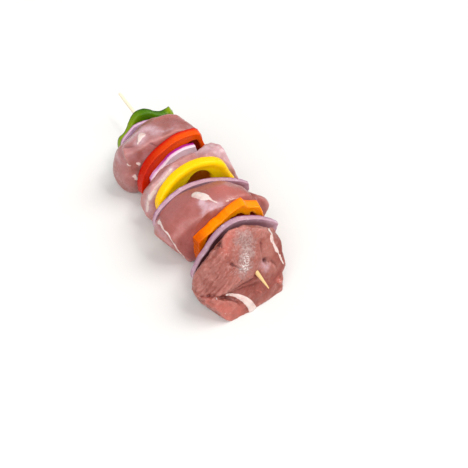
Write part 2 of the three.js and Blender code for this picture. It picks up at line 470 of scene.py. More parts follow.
# the onion_front's side colour is painted shade where it lies against the pork
onionFront = {
    **onionBase, "x": 78, "roll": 14, "thick": 4, "lobe": (8, -10), "after": "pepper_orange",
    "outline": [
        (30.6, 25), (30.6, 25), (25.9, 28.6), (19.7, 31.9), (13.4, 34), (7.7, 35.4), (2.8, 35.6), (-2.2, 34.3),
        (-8.3, 31.2), (-13.8, 26.9), (-18.8, 21.8), (-23, 19), (-26.5, 15.6), (-28.9, 13.3), (-30.6, 10.5),
        (-29.5, 6), (-22, 2.5), (-8, 1.8), (8, 4), (20, 9), (28, 17),
    ],
}
walls = {
    "pepper_green": pepperGreen, "onion_back": onionBack, "pepper_red": pepperRed, "onion_short": onionShort,
    "pepper_yellow": pepperYellow, "onion_middle": onionMiddle, "pepper_orange": pepperOrange,
    "onion_front": onionFront,
}


def wallBack(wall, y, z):
    # Where the back of the wall is along x, at y and z
    roll = math.radians(wall["roll"])
    across = (y - axisMiddle[0]) * math.cos(roll) + (z - axisMiddle[1]) * math.sin(roll)
    ripple = wall["wave"] * np.sin(2 * np.pi * across / wall["waveLength"] + wall["wavePhase"])
    radius2 = (y - axisMiddle[0]) ** 2 + (z - axisMiddle[1]) ** 2
    own = foot[0] + wall["x"] + wall["bowl"] * radius2 / (2 * nest) + ripple
    if wall["after"]:
        before = walls[wall["after"]]
        own = np.maximum(own, wallBack(before, y, z) + before["thick"] + wallGap)
    return own


def meatGrainTree():
    # Sizes are millimetres
    n, given = newTree("meatGrain", {
        "Lump size": 11.0, "Lump height": 0.8, "Fold size": 4.0, "Fold height": 0.3, "Grain size": 1.3,
        "Grain height": 0.12, "Fibre direction": (0.0, 1.0, 0.0), "Fibre length": 14.0, "Fibre width": 1.6,
        "Fibre height": 0.15, "Strand share": 2.5, "Rough share": 2.4, "Fat share": 0.6, "Seed": 1.0,
        "Material": None,
    })
    place = n.scaled(n.add("GeometryNodeInputPosition", {}), 1 / mm)
    place = n.vector("ADD", place, n.scaled((13.7, 5.1, 9.3), given["Seed"]))

    def relief(name, where, size, detail=2.0):
        value = n.noise(n.scaled(where, n.over(1.0, given[size])), 1, detail)
        return n.times(n.minus(value, 0.5), n.times(given[name + " height"], 2.0))

    def marked(name):
        return n.add("GeometryNodeInputNamedAttribute", {"Name": name}, "Attribute", data_type="FLOAT")

    direction = n.vector("NORMALIZE", given["Fibre direction"])
    along = n.vector("DOT_PRODUCT", place, direction)
    squeeze = n.minus(1.0, n.over(given["Fibre width"], given["Fibre length"]))
    stretched = n.vector("SUBTRACT", place, n.scaled(direction, n.times(along, squeeze)))

    rough = n.plus(1.0, n.times(marked("rough"), given["Rough share"]))
    strands = n.plus(1.0, n.times(marked("strands"), given["Strand share"]))
    calm = n.minus(1.0, n.times(marked("fat"), given["Fat share"]))
    grain = n.times(relief("Grain", place, "Grain size"), rough)
    fibres = n.times(relief("Fibre", stretched, "Fibre width"), strands)
    broad = n.plus(relief("Lump", place, "Lump size", 1.0), relief("Fold", place, "Fold size"))
    total = n.times(n.plus(broad, n.times(n.plus(grain, fibres), calm)), marked("open"))
    offset = n.scaled(n.add("GeometryNodeInputNormal", {}), n.times(total, mm))
    moved = n.add("GeometryNodeSetPosition", {"Geometry": given["Geometry"], "Offset": offset})
    return endTree(n, moved, given["Material"])


# Colours of the meat. The darkest is painted shade for creases, hollows and the skewer hole; the pale pink is
# the meat's pale tone and also a painted highlight on raised places; the near white is painted wet glints; dark
# is darker meat, and on some marks painted shade.
meatColours = {
    "deep": (84, 26, 26), "paleAndRidgeHighlight": (198, 134, 126), "fat": (211, 193, 186), "fatShade": (192, 156, 150),
    "silver": (198, 166, 174), "grey": (160, 134, 130), "greyDark": (114, 76, 72), "paintedGlint": (244, 236, 232),
    "dark": (112, 48, 42), "blot": (118, 50, 48), "thread": (116, 50, 48), "pink": (190, 98, 86),
}
# sizes of the patches and threads in the meat, in millimetres
meatSizes = {
    "tone": 15, "patch": 5.5, "blot": 3.4, "thread": 0.8, "sinew": 3.2, "cut": 1.1, "cutEdge": 3.5,
    "speck": 0.9, "fray": 1.5, "wet": 2.6, "fine": 0.45,
}
meatFinish = {
    "Subsurface Weight": 0.12, "Subsurface Radius": (1, 0.3, 0.24), "Subsurface Scale": 0.0024,
    "Coat Weight": 0.22, "Coat Roughness": 0.1,
}


def meatLook(name, chunk):
    look, n, shader = newLook(name)
    tones, sizes, mottle, place = meatColours, meatSizes, chunk["mottle"], n.place()
    main, second = chunk["colours"]
    colour = n.tint(main, second, n.noise(place, sizes["tone"], 3, 0.55, 0.6), 0.38, 0.62)
    patch = n.noise(n.vector("ADD", place, (31, 7, 3)), sizes["patch"], 4, 0.6, 0.8)
    colour = n.tint(colour, tones["paleAndRidgeHighlight"], patch, 0.52, 0.8, 0.3 * mottle)
    blots = n.noise(n.vector("ADD", place, (3, 47, 13)), sizes["blot"], 4, 0.65, 0.5)
    colour = n.tint(colour, tones["blot"], blots, 0.56, 0.8, 0.45 * mottle)

    # threads of muscle along the fibre
    direction = Vector(chunk["fibre"]).normalized()
    along = n.vector("DOT_PRODUCT", place, tuple(direction))
    flat = n.vector("SUBTRACT", place, n.scaled(tuple(direction), along))
    stretched = n.vector("ADD", flat, n.scaled(tuple(direction * 0.08), along))
    thread = n.noise(stretched, sizes["thread"], 4, 0.65, 0.3)
    colour = n.tint(colour, tones["paleAndRidgeHighlight"], thread, 0.52, 0.76, 0.3 * mottle)
    colour = n.tint(colour, tones["thread"], thread, 0.48, 0.26, 0.4 * mottle)
    # pale threads of connective tissue
    sinew = n.noise(n.vector("ADD", stretched, (5, 9, 2)), sizes["sinew"], 3, 0.5, 0.9)
    line = n.span(n.math("ABSOLUTE", n.minus(sinew, 0.5)), 0.004, 0.02, (1, 0), True)
    line = n.times(line, n.span(patch, 0.5, 0.62))
    colour = n.blend(n.times(line, 0.3 * mottle), colour, tones["fatShade"])

    sunk = n.attribute("sunk")
    # raised places are painted lighter, a painted highlight, and sunken places darker, painted shade
    colour = n.tint(colour, tones["paleAndRidgeHighlight"], sunk, -0.08, -0.4, 0.28)
    colour = n.tint(colour, tones["deep"], sunk, 0.04, 0.6, chunk["shade"])
    colour = n.blend(n.times(n.attribute("dark"), 0.75), colour, tones["dark"])
    colour = n.blend(n.attribute("pink"), colour, tones["pink"])
    silver = n.times(n.attribute("silver"), n.span(patch, 0.25, 0.6, (0.35, 0.9)))
    colour = n.blend(silver, colour, tones["silver"])
    # cut grain, grey, with bright specks painted on as wet glints
    rough = n.attribute("rough")
    grey = n.tint(tones["greyDark"], tones["grey"], n.noise(place, sizes["cut"], 5, 0.8), 0.36, 0.56)
    greyShare = n.plus(rough, n.span(n.noise(place, sizes["cutEdge"], 4, 0.7), 0.3, 0.7, (-0.35, 0.35)))
    colour = n.tint(colour, grey, greyShare, 0.2, 1.1, 0.8)
    specks = n.noise(n.vector("ADD", place, (3, 5, 9)), sizes["speck"], 4, 0.7)
    paintedGlint = n.plus(specks, n.span(n.attribute("paintedGlint"), 0, 1, (-0.3, 0.06)))
    colour = n.tint(colour, tones["paintedGlint"], paintedGlint, 0.5, 0.7, 0.62)
    # painted shade in the creases, the notch and round the skewer
    colour = n.blend(n.attribute("deep"), colour, tones["deep"])
    # fat has frayed edges
    fray = n.span(n.noise(place, sizes["fray"], 5, 0.75), 0.3, 0.7, (-0.2, 0.2))
    fat = n.plus(n.attribute("fat"), fray)
    fatColour = n.blend(n.span(patch, 0.3, 0.55), tones["fatShade"], tones["fat"])
    colour = n.tint(colour, fatColour, fat, 0.3, 0.72)

    wet = n.noise(place, sizes["wet"], 3, 0.6)
    fine = n.plus(n.times(n.noise(place, sizes["fine"], 3, 0.6), 0.3), n.times(thread, 0.6))
    n.fill(shader, {
        "Base Color": colour,
        "Roughness": n.minus(n.span(wet, 0.35, 0.7, (0.26, 0.52)), n.times(rough, 0.08)),
        "Normal": n.bump(n.plus(fine, n.times(wet, 0.5)), 0.7, 0.0004),
        "Specular IOR Level": chunk["specular"], **meatFinish,
    })
    return look


def mark(kind, width, line, end=None, strength=1, rise=0, depth=0, ragged=None):
    # A mark along a line on the surface, as wide as width at its start and as end at its end
    if ragged is None:
        ragged = 0.85 if kind == "fat" else 1.2
    end = width if end is None else end
    return {"kind": kind, "width": width, "line": line, "end": end, "strength": strength, "rise": rise,
            "depth": depth, "ragged": ragged}


# Pork. Corners are millimetres from the foot, x to the tip and y to the right of it. A chunk is the hull of
# each list of corners, melted together with its eggs, which are middles and radii. Marks follow lines on the
# surface, given in percents of the node's box: fat and silverskin are raised, creases sunk and darkened with
# painted shade, rough is cut grain, deep marks are painted shade and the bright specks painted glints.
meatBase = {
    "voxel": 0.5, "rounds": 7, "lump": 0.8, "fold": 0.4, "grain": 0.14, "fibreHeight": 0.16, "after": None,
    "before": None, "colours": [(150, 84, 78), (166, 108, 106)], "mottle": 1, "eggs": [], "warp": 0.9,
    "shade": 0.8, "specular": 0.28,
}
porkBack = {
    **meatBase, "fibre": (0.2, 1, 0.2), "seed": 1.0, "after": "onion_back", "before": "pepper_red",
    "colours": [(150, 92, 86), (164, 112, 112)], "rounds": 60, "lump": 0.7, "fold": 0.25, "mottle": 0.5,
    "grain": 0.08, "fibreHeight": 0.1,
    "eggs": [((-26, -29, 17), (16, 11.2, 18)), ((-24, -27, 27), (13, 9.5, 11)),
             ((-32, 16, 18), (13, 11.5, 12))],
    "blocks": {
        "top": [
            (-47, -24, 26.5), (-47, -19, 30), (-47, -13, 35.5), (-47, -7, 38), (-46, 2, 40), (-44, 8, 42.5),
            (-40, 11, 45), (-34, 15.5, 45.5), (-26, 16.5, 46.2), (-18, 19, 44.8), (-13, 22, 42.5),
            (-36, -6, 44.5), (-31, -14, 44.5), (-28, -21, 42), (-26, -27, 39.5), (-22, -30.5, 41),
            (-17, -32.5, 41.5), (-13, -33, 39.5), (-12, -27, 39.5), (-12, -12, 43), (-13, -2, 45),
            (-13, 7, 45.6), (-28, 25.5, 35.5), (-13, 25.5, 36), (-12, 27, 22), (-40, 26.5, 29), (-46, 21, 29),
            (-12, -32.5, 26), (-45, 22, 14), (-14, 24, 9), (-36, 25, 6), (-22, 24.5, 4), (-43, 17, 2),
            (-40, 13, 0), (-17, 16, 0), (-30, 20, 0), (-46, -22, 8), (-42, -18, 0), (-16, -24, 0),
            (-12, -29, 5),
        ],
    },
    "marks": [
        mark("silver", 4, [(62, 20, 85), (60, 30, 88), (58, 40, 92), (60, 48, 94), (74, 50, 94)],
             strength=0.85),
        mark("dark", 5, [(50, 74, 93), (65, 80, 92), (86, 86, 90)], strength=0.45),
        # painted shade over the ridge by the red pepper, where light catches it
        mark("dark", 3, [(85, 20, 86), (96, 23, 82), (100, 25, 78)], strength=0.4),
        # silverskin colour on the left lobe's top, partly a painted highlight where it catches light
        mark("silver", 3, [(50, 2, 62), (62, 4, 66), (74, 6, 64)], strength=0.4),
        mark("fat", 0.7, [(12, 90, 60), (35, 98, 52), (60, 100, 44), (95, 97, 46)],
             end=1.2, rise=0.3, ragged=0.5),
        mark("silver", 4, [(15, 93, 40), (50, 100, 30), (90, 95, 30)], strength=0.7),
        mark("crease", 1, [(20, 85, 70), (50, 97, 66), (80, 99, 60)], depth=0.7),
        mark("pink", 4, [(30, 62, 90), (40, 75, 92), (60, 86, 90)], strength=0.35),
        mark("fat", 3, [(72, 36, 93), (80, 31, 90), (88, 27, 86)],
             end=0.3, strength=1.4, rise=0.9, ragged=0.15),
        mark("silver", 3.6, [(68, 38, 94), (78, 35, 92), (86, 30, 88)], strength=0.7),
        mark("silver", 1.6, [(80, 56, 95), (84, 66, 94)], strength=0.5),
        mark("fat", 0.6, [(96, 12, 62), (98, 14.5, 60.5), (98, 17, 60)], strength=0.8, rise=0.15),
        mark("fat", 1.1, [(98, 22, 61), (99, 24, 58)], rise=0.25),
        mark("fat", 1.4, [(99, 16, 42), (99, 17, 38)], strength=0.8, rise=0.3),
        mark("crease", 0.8, [(93, 36, 91), (95, 42, 83), (94, 46, 78)], depth=0.4),
        mark("crease", 1.6, [(70, 12, 84), (84, 16, 86), (91, 25, 90)], depth=0.8),
    ],
}
porkThin = {
    **meatBase, "fibre": (0.3, 0.8, 0.5), "seed": 2.0, "fold": 0.5, "after": "onion_short", "rounds": 16,
    "before": "pepper_yellow", "colours": [(168, 108, 104), (180, 126, 122)],
    "blocks": {
        "body": [
            (2, -10, 24), (2, 8, 28), (6, -12, 30.5), (6, 9, 34), (11, -17, 36), (11, -2, 40), (11, 9, 41),
            (20, -10, 44), (18, 6, 44.8), (23, -14, 42.5), (24, 8, 44), (12, -29, 25), (20, -30, 32),
            (25, -28.5, 36), (27.5, -32, 27), (23, -35.5, 12), (14, -35.5, 15), (14, -33.5, 21), (7, -29, 18),
            (9, -29, 6), (16, -33, 5), (24, -31, 5), (11, -23, 0), (23, -25, 0), (22, 18, 0), (10, 20, 0),
            (16, 26, 1.5), (28, 22, 10), (28, -24, 10), (5, 28, 24), (27, 32, 26), (22, 31, 9), (9, 30, 10),
        ],
        "corner": [
            (4, 14.5, 35.5), (7, 18.5, 42), (11, 22, 45), (17.5, 25.5, 45.5), (23, 27, 41), (28, 29, 34),
            (29, 31.5, 28), (26, 35, 18), (8, 34.5, 24), (3, 27, 34), (5, 12, 34), (22, 8, 42), (26, 20, 40),
            (14, 8, 42), (23, 32, 9), (9, 31, 9), (16, 12, 10),
        ],
    },
    "marks": [
        mark("silver", 3.4, [(82, 31, 93), (87, 21, 81), (92, 8, 67), (88, 3, 55), (84, 1, 38)]),
        mark("fat", 1.1, [(83, 31, 93), (86, 25, 86), (89, 17, 78), (91, 12, 71)],
             end=1.7, strength=0.75, rise=0.25, ragged=0.8),
        mark("fat", 2.1, [(91, 12, 71), (90, 6, 61), (86, 2, 48), (84, 1, 36)],
             end=1.4, strength=0.75, rise=0.3, ragged=0.8),
        mark("silver", 6, [(30, 62, 95), (50, 74, 99), (75, 84, 93), (95, 90, 75)]),
        mark("fat", 2.4, [(35, 72, 95), (45, 77, 98), (60, 82, 98), (75, 86, 93)],
             end=1.2, strength=0.42, rise=0.2, ragged=1.4),
        mark("fat", 0.8, [(5, 93, 45), (40, 100, 38), (95, 98, 28)], end=1.3, rise=0.3, ragged=0.5),
        mark("silver", 4, [(20, 97, 60), (50, 100, 55), (90, 98, 50)], strength=0.6),
    ],
}
porkMiddle = {
    **meatBase, "fibre": (0.9, 0.3, -0.2), "seed": 3.0, "lump": 0.45, "fold": 0.12, "rounds": 110,
    "grain": 0.07, "fibreHeight": 0.1, "after": "onion_middle", "before": "pepper_orange",
    "colours": [(150, 84, 78), (160, 94, 90)], "mottle": 0.35, "warp": 0.8,
    "blocks": {
        "body": [
            (42, -12, 37.4), (42, 10, 36.6), (42, -23, 34.6), (43, 22, 31), (44, -31, 31.5), (47.5, -12, 41.4),
            (48.5, 10, 41.4), (52, 22, 34.5), (57, -8, 43.8), (57, 8, 44.2), (60, 20, 38.5), (67, 22, 38.6),
            (68.5, 10, 42), (69, -4, 40.8), (71, -14, 36.8), (71, -33.5, 25), (62, -31, 33.5),
            (68, -35.5, 27.5), (60, -36.5, 29), (48, -34, 28), (71, -31.4, 17), (71, -28.6, 10.5),
            (71, -26, 4.5), (68, -24, 0), (66, 14, 0), (70, 22, 6), (60, 27, 4), (71, 26, 14), (71, 26, 30),
            (43, -30, 8), (46, -24, 0), (47, 14, 0), (48, 25, 5), (43, 30, 14), (56, 31, 10),
        ],
        "left": [
            (43.5, -35, 28.5), (57, -38, 27), (65, -36.2, 25.5), (59, -38.4, 21.5), (49, -39, 18.5),
            (70, -33, 19), (71, -29.8, 12.5), (70.5, -27.5, 7.5), (58, -31, 11.5), (47, -33, 10.5),
            (60, -27, 4), (60, -28, 22), (47, -30, 10),
        ],
        "right": [
            (58, 22, 34), (66, 26, 36), (70, 31, 31), (71, 35, 25), (71, 32, 19), (70, 24, 19), (61, 36.5, 24),
            (53, 33, 22), (48, 26, 24), (56, 31, 14), (70, 24, 10), (50, 29, 8),
        ],
    },
    "marks": [
        mark("fat", 3.1, [(50, 38, 96), (60, 40.5, 97), (70, 43, 97)],
             end=2.3, strength=1.4, rise=0.35, ragged=0.5),
        mark("fat", 1.8, [(68, 43, 97), (79, 46, 95), (90, 49, 92)],
             end=0.3, strength=0.7, rise=0.2, ragged=0.4),
        mark("silver", 3.2, [(76, 38.5, 94), (84, 40, 92), (93, 44, 90), (96, 51, 88)]),
        mark("silver", 2, [(84, 38, 91), (93, 36, 87)], strength=0.8),
        mark("pink", 6, [(60, 58, 99), (68, 66, 95), (80, 72, 90)], strength=0.35),
        mark("dark", 5, [(55, 86, 78), (70, 84, 84), (85, 83, 83)], strength=0.5),
        mark("fat", 0.5, [(93, 57, 92), (94, 62, 92), (95, 68, 91)], strength=0.6, rise=0.1, ragged=0.4),
        mark("fat", 0.75, [(56, 4.5, 67), (68, 4.5, 66), (85, 5.5, 64), (94, 7.5, 54), (99, 10, 38),
              (100, 14, 18)], end=0.4, rise=0.35, ragged=0.3),
        mark("fat", 1.7, [(40, 4, 66), (50, 4.5, 67), (58, 4.5, 66)],
             end=0.8, strength=0.8, rise=0.25, ragged=0.6),
        mark("pink", 2.4, [(50, 0, 47), (65, 1, 48), (84, 4, 45)], strength=0.55),
        mark("silver", 2.6, [(36, 3, 62), (50, 3, 58), (70, 3, 56), (86, 5, 48)], strength=0.5),
        mark("crease", 1.4, [(50, 2, 50), (70, 2, 40), (85, 8, 22)], depth=0.6),
        mark("fat", 0.8, [(10, 90, 35), (45, 97, 30), (75, 100, 42), (98, 97, 50)],
             end=1.2, rise=0.3, ragged=0.5),
        mark("silver", 4, [(20, 92, 50), (50, 100, 55), (80, 100, 60)], strength=0.6),
    ],
}
porkFront = {
    **meatBase, "fibre": (-0.14, 0.84, 0.52), "seed": 4.0, "grain": 0.26, "fold": 0.7, "fibreHeight": 0.3,
    "lump": 0.9, "after": "onion_front", "colours": [(138, 76, 66), (154, 94, 84)], "warp": 1.1, "shade": 0.65,
    "specular": 0.22,
    "blocks": {
        "top": [
            (100, -17, 40.6), (96, -8.5, 43.6), (95, -1, 43), (97, 5, 42), (100, 11, 39.2), (95, 21.5, 31.5),
            (103, 23, 27), (110.5, 20.4, 16.5), (113, 18.2, 11), (113, 3, 21.3), (114.5, -4, 22.4),
            (116, -12, 23), (117.2, -20, 21.2), (117.6, -27, 19), (113, -36, 17), (104, -37, 14),
            (102, -36, 20.8), (102.5, -34.2, 26.4), (99.6, -28.4, 30.2), (99.4, -23, 34), (88, -26, 13.5),
            (88, -22, 18.8), (88.5, -16, 24.3), (88.5, -9, 29.2), (88, 0, 32.6), (88, 8, 33), (88, 15, 30.5),
            (88, 21, 25.5), (88, 24, 18), (88, 21.5, 7), (98, 24.5, 9), (107, 22.5, 7), (88, -24, 6),
        ],
        "fill": [
            (104, -35, 13), (113, -35, 13), (117.5, -29, 12), (104, -28, 13), (104, -35.3, 18.4),
            (112.5, -35, 19), (117.2, -29.5, 18.4), (116.8, -26, 18.4), (104, -28, 19),
        ],
        "under": [
            (100, -30, 8), (112, -31, 8), (112, -31, 18), (100, -30, 18), (116.5, -26.5, 17.5), (117, -26.5, 6),
            (115, -20, 17), (116, -20, 6), (113.5, -14, 15), (114, -14, 6), (104, -14, 15), (104, -14, 6),
        ],
        "low": [
            (92, -20, 0), (88, -22, 5), (90, 12, 0), (104, 16, 0), (88, 19, 5), (98, 22.5, 6), (108, 20, 4),
            (86, 21, 14), (88, -24, 12), (112, -22, 15.5), (111, -9, 18.6), (110.8, 3, 18.4), (111.5, 12, 16.5),
            (112.5, 17.5, 13), (116.3, 17, 8), (117.6, 14.5, 0), (118.8, 8, 0), (121, -2, 0), (122.4, -10, 0),
            (122.4, -15, 0), (121.5, -13, 6), (117.5, -20, 12),
        ],
        "flap": [
            (103, -37.5, 18), (112, -37, 19.5), (117.8, -30.5, 18), (119.3, -25, 15), (120.5, -17, 11),
            (121.4, -28, 9), (123, -25.5, 4), (123, -22, 0), (123, -17.5, 0), (122.4, -13, 0), (112, -28, 0),
            (101, -33, 2), (99, -32, 12),
        ],
    },
    "marks": [
        mark("rough", 7, [(47, 56, 91), (54, 57, 82), (61, 54, 74), (69, 50, 68), (75, 47, 63)], end=6.4),
        # painted glints: bright wet specks painted into the colour, over the cut grain and on the flap
        mark("paintedGlint", 4, [(61, 53, 74), (69, 50, 68), (76, 46, 62)], end=4.6),
        mark("paintedGlint", 1.1, [(82, 12, 40), (84, 17, 38)], strength=0.85),
        mark("paintedGlint", 1.5, [(96, 17, 17), (98, 22, 14)], strength=0.8),
        mark("strands", 9, [(72, 28, 64), (78, 20, 53), (76, 8, 46)]),
        mark("crease", 0.7, [(63, 34, 74), (69, 39, 68), (77, 45, 60)], depth=0.8),
        mark("crease", 1.4, [(62, 69, 55), (64.5, 71, 52), (66, 74, 49)], depth=2.8),
        mark("silver", 2.4, [(67, 66, 50), (72, 70, 45)], strength=0.7),
        mark("crease", 1.2, [(50, 72, 80), (56, 70, 72), (62, 68, 60)], depth=0.5),
        mark("crease", 1, [(65, 76, 54), (72, 80, 44), (75, 82, 34)], depth=0.7),
        mark("crease", 1.6, [(40, 40, 93), (45, 30, 86), (50, 22, 78)], depth=0.5),
        mark("crease", 1.5, [(34, 28, 85), (40, 32, 89), (47, 34, 88.5)], depth=2.8),
        mark("pink", 3.4, [(50, 37, 87), (44, 41, 92), (40, 47, 98), (41, 58, 99)], strength=0.5),
        mark("crease", 1, [(75, 60, 50), (80, 53, 44), (82, 45, 41), (84, 35, 40), (86, 27, 38)], depth=0.9),
        mark("crease", 0.8, [(72, 1, 44), (77, 6, 43), (82, 12, 44), (83, 20, 37), (85, 27, 29), (94, 30, 26)],
             depth=0.7),
        # painted shade on the low face under the lip
        mark("dark", 7, [(81, 38, 33), (83, 46, 31), (83, 56, 36), (90, 64, 16), (94, 50, 19)], strength=0.6),
        mark("dark", 3.6, [(46, 93, 72), (60, 95, 50), (68, 96, 34)], strength=0.8),
        mark("dark", 3.4, [(68, 86, 47), (74, 88, 34), (80, 78, 25), (87, 71, 19)], strength=0.7),
        mark("dark", 1, [(74, 2, 44), (79, 5, 42), (84, 16, 39)], strength=0.9),
        mark("dark", 5, [(50, 9, 62), (60, 8, 58), (70, 6, 50)], strength=0.35),
        mark("pink", 2.6, [(84, 6, 38), (88, 10, 32), (90, 20, 28)], strength=0.4),
        mark("pink", 3, [(58, 4, 15), (76, 9, 16), (92, 14, 15), (99, 17, 10), (100, 22, 4)], strength=0.5),
        mark("pink", 3.6, [(91, 10, 33), (95, 17, 25), (97, 24, 18), (97, 33, 9)], strength=0.5),
        # painted shade in the notch where the chunk meets the onion
        mark("deep", 1.5, [(28, 34, 80), (36, 35, 86), (42, 34.5, 88)], strength=1.2),
        mark("pink", 1.3, [(83, 80, 24), (86, 82, 17)], strength=0.5, rise=0.5),
        # painted glints on the pink patch
        mark("paintedGlint", 1.1, [(83, 80, 25), (85, 82, 20)], strength=0.9),
        mark("pink", 0.4, [(88, 55, 25), (90, 58, 21)], strength=0.5, rise=0.2),
        mark("fat", 0.7, [(83, 25, 36), (82, 31, 30), (84, 34, 27), (90, 38, 25), (94, 41, 21), (98, 45, 10),
              (98, 46, 3)], end=3, strength=1.4, rise=0.6, ragged=0.15),
        mark("fat", 1, [(10, 96, 40), (25, 98, 32), (45, 97, 26)], end=1.3, rise=0.3, ragged=0.3),
        mark("silver", 3, [(10, 2, 40), (30, 0, 30), (50, 0, 25)], strength=0.6),
        mark("fat", 1.7, [(41, 86, 79), (54, 84, 71), (61, 86, 61), (66, 88, 50), (74, 90, 37)],
             end=0.4, rise=0.4),
    ],
}
meat = {"pork_back": porkBack, "pork_thin": porkThin, "pork_middle": porkMiddle, "pork_front": porkFront}


# How every chunk is made: sizes are millimetres, a noise is its size and its height
chunkMaking = {
    "hullSmooth": 0.5, "warpSize": 13, "ragged": (3.2, 1), "raggedFine": (1.4, 0.5), "creaseRagged": 0.25,
    "fatEdge": (0.5, 1.15), "puckerWidth": 2.6, "puckerDepth": 0.9, "puckerShadeWidth": 2.2,
    "puckerShade": 0.8, "endFacing": (0.75, 0.97), "endCalm": 0.75, "floorCalm": (0.2, 3),
    "sunkRounds": {6: 0.6, 40: 0.5}, "creaseEnds": (0.04, 0.96), "creaseShade": (0.3, 0.2),
}


def melted(node, chunk):
    # The chunk's blocks as one fine, even, slightly rounded mesh
    shape = bmesh.new()
    for corners in chunk["blocks"].values():
        made = [shape.verts.new(Vector((foot + np.array(corner)) * mm)) for corner in corners]
        bmesh.ops.convex_hull(shape, input=made)
        bmesh.ops.delete(shape, geom=[v for v in made if v.is_valid and not v.link_faces], context="VERTS")
    for middle, radii in chunk["eggs"]:
        place = Matrix.Translation(Vector((foot + np.array(middle)) * mm))
        place = place @ Matrix.Diagonal((*np.array(radii) * mm, 1))
        bmesh.ops.create_icosphere(shape, subdivisions=3, radius=1, matrix=place)
    bmesh.ops.recalc_face_normals(shape, faces=shape.faces)
    piece = newPiece(node)
    shape.to_mesh(piece.data)
    shape.free()
    even = piece.modifiers.new("even", "REMESH")
    even.mode = "VOXEL"
    even.voxel_size = chunk["voxel"] * mm
    smooth = piece.modifiers.new("smooth", "SMOOTH")
    smooth.factor = chunkMaking["hullSmooth"]
    smooth.iterations = chunk["rounds"]
    settle(piece)
    # straight edges go out of true
    points = readPlaces(piece.data)
    warp = [noiseAt(points, chunkMaking["warpSize"], chunk["seed"] * 3 + axis) for axis in range(3)]
    writePlaces(piece.data, points + chunk["warp"] * np.stack(warp, axis=1))
    return piece


def sunken(mesh, points, normals, rounds):
    # How far each point lies below the mesh's own average around it
    ends = np.empty(len(mesh.edges) * 2, np.int32)
    mesh.edges.foreach_get("vertices", ends)
    a, b = ends.reshape(-1, 2).T
    count = np.bincount(a, minlength=len(points)) + np.bincount(b, minlength=len(points))
    height = points.copy()
    for _ in range(rounds):
        for axis in range(3):
            total = np.bincount(a, height[b, axis], len(points)) + np.bincount(b, height[a, axis], len(points))
            height[:, axis] = total / np.maximum(count, 1)
    return ((height - points) * normals).sum(axis=1)


def snapped(line, points):
    # The line with each of its points moved to the nearest one of the surface
    tree = KDTree(len(points))
    for index, point in enumerate(points):
        tree.insert(point, index)
    tree.balance()
    return np.array([tree.find(point)[0] for point in line])


def pressed(points, chunk):
    # The points held between the chunk's neighbours and the plane that the kebab lies on
    points = points.copy()
    if chunk["after"]:
        wall = walls[chunk["after"]]
        front = wallBack(wall, points[:, 1], points[:, 2]) + wall["thick"] + pressGap
        points[:, 0] = np.maximum(points[:, 0], front)
    if chunk["before"]:
        back = wallBack(walls[chunk["before"]], points[:, 1], points[:, 2]) - pressGap
        points[:, 0] = np.minimum(points[:, 0], back)
    return np.clip(points, np.array(cadBox[0]) / mm, np.array(cadBox[1]) / mm)


meatMarks = ("fat", "silver", "deep", "rough", "paintedGlint", "dark", "pink", "strands")


def makeMeat(node, chunk, grainTree):
    making = chunkMaking
    piece = melted(node, chunk)
    mesh = piece.data
    points = pressed(readPlaces(mesh), chunk)
    writePlaces(mesh, points)
    normals = readNormals(mesh)

    marks = {kind: np.zeros(len(points)) for kind in meatMarks}
    shift = np.zeros(len(points))
    wobble = heights(points, {making["ragged"]: chunk["seed"], making["raggedFine"]: chunk["seed"] + 5})
    for one in chunk["marks"]:
        away, along = nearLine(points, smoothPath(snapped([placeIn(node, p) for p in one["line"]], points)))
        width = one["width"] + (one["end"] - one["width"]) * along
        if one["kind"] == "crease":
            shape = np.exp(-((away + making["creaseRagged"] * wobble) / width) ** 2)
            shape *= np.sqrt(np.sin(np.pi * np.clip(along, *making["creaseEnds"])))
            shift -= one["depth"] * shape
            # creases are darkened with painted shade
            least, more = making["creaseShade"]
            marks["deep"] = np.maximum(marks["deep"], shape**2 * min(1, least + more * one["depth"]))
            continue
        rim = away + one["ragged"] * wobble
        if one["kind"] == "fat":
            shape = 1 - smoothStep(rim, *(width * edge for edge in making["fatEdge"]))
        else:
            shape = np.exp(-((np.maximum(rim, 0) / width) ** 2))
        shift += one["rise"] * shape
        marks[one["kind"]] = np.maximum(marks[one["kind"]], shape * one["strength"])
    # the meat puckers where the skewer comes out, and painted shade darkens the hole
    around = np.hypot(points[:, 1] - foot[1], points[:, 2] - skewerHeight(points[:, 0]))
    shift -= making["puckerDepth"] * np.exp(-((around / making["puckerWidth"]) ** 2))
    shade = making["puckerShade"] * np.exp(-((around / making["puckerShadeWidth"]) ** 2))
    marks["deep"] = np.maximum(marks["deep"], shade)
    points += shift[:, None] * normals
    writePlaces(mesh, points)

    # the ends that press on a neighbour stay even, and so does the underside
    free = chunk["before"] is None
    flat = smoothStep(np.abs(normals[:, 0]), *making["endFacing"]) * (1 - free * (normals[:, 0] > 0))
    marks["open"] = (1 - making["endCalm"] * flat) * smoothStep(points[:, 2], *making["floorCalm"])
    for name, values in marks.items():
        writeMark(mesh, name, values)
    look = meatLook(node, chunk)
    runTree(piece, grainTree, {
        "Lump height": chunk["lump"], "Fold height": chunk["fold"], "Grain height": chunk["grain"],
        "Fibre direction": chunk["fibre"], "Fibre height": chunk["fibreHeight"], "Seed": chunk["seed"],
        "Material": look,
    })
    mesh = piece.data
    points = pressed(readPlaces(mesh), chunk)
    writePlaces(mesh, points)
    normals = readNormals(mesh)
    sunk = [share * sunken(mesh, points, normals, rounds) for rounds, share in making["sunkRounds"].items()]
    writeMark(mesh, "sunk", sum(sunk))
    finishPiece(piece, node, look)


grainTree = meatGrainTree()
for node, chunk in meat.items():
    makeMeat(node, chunk, grainTree)
    print(node, "made")

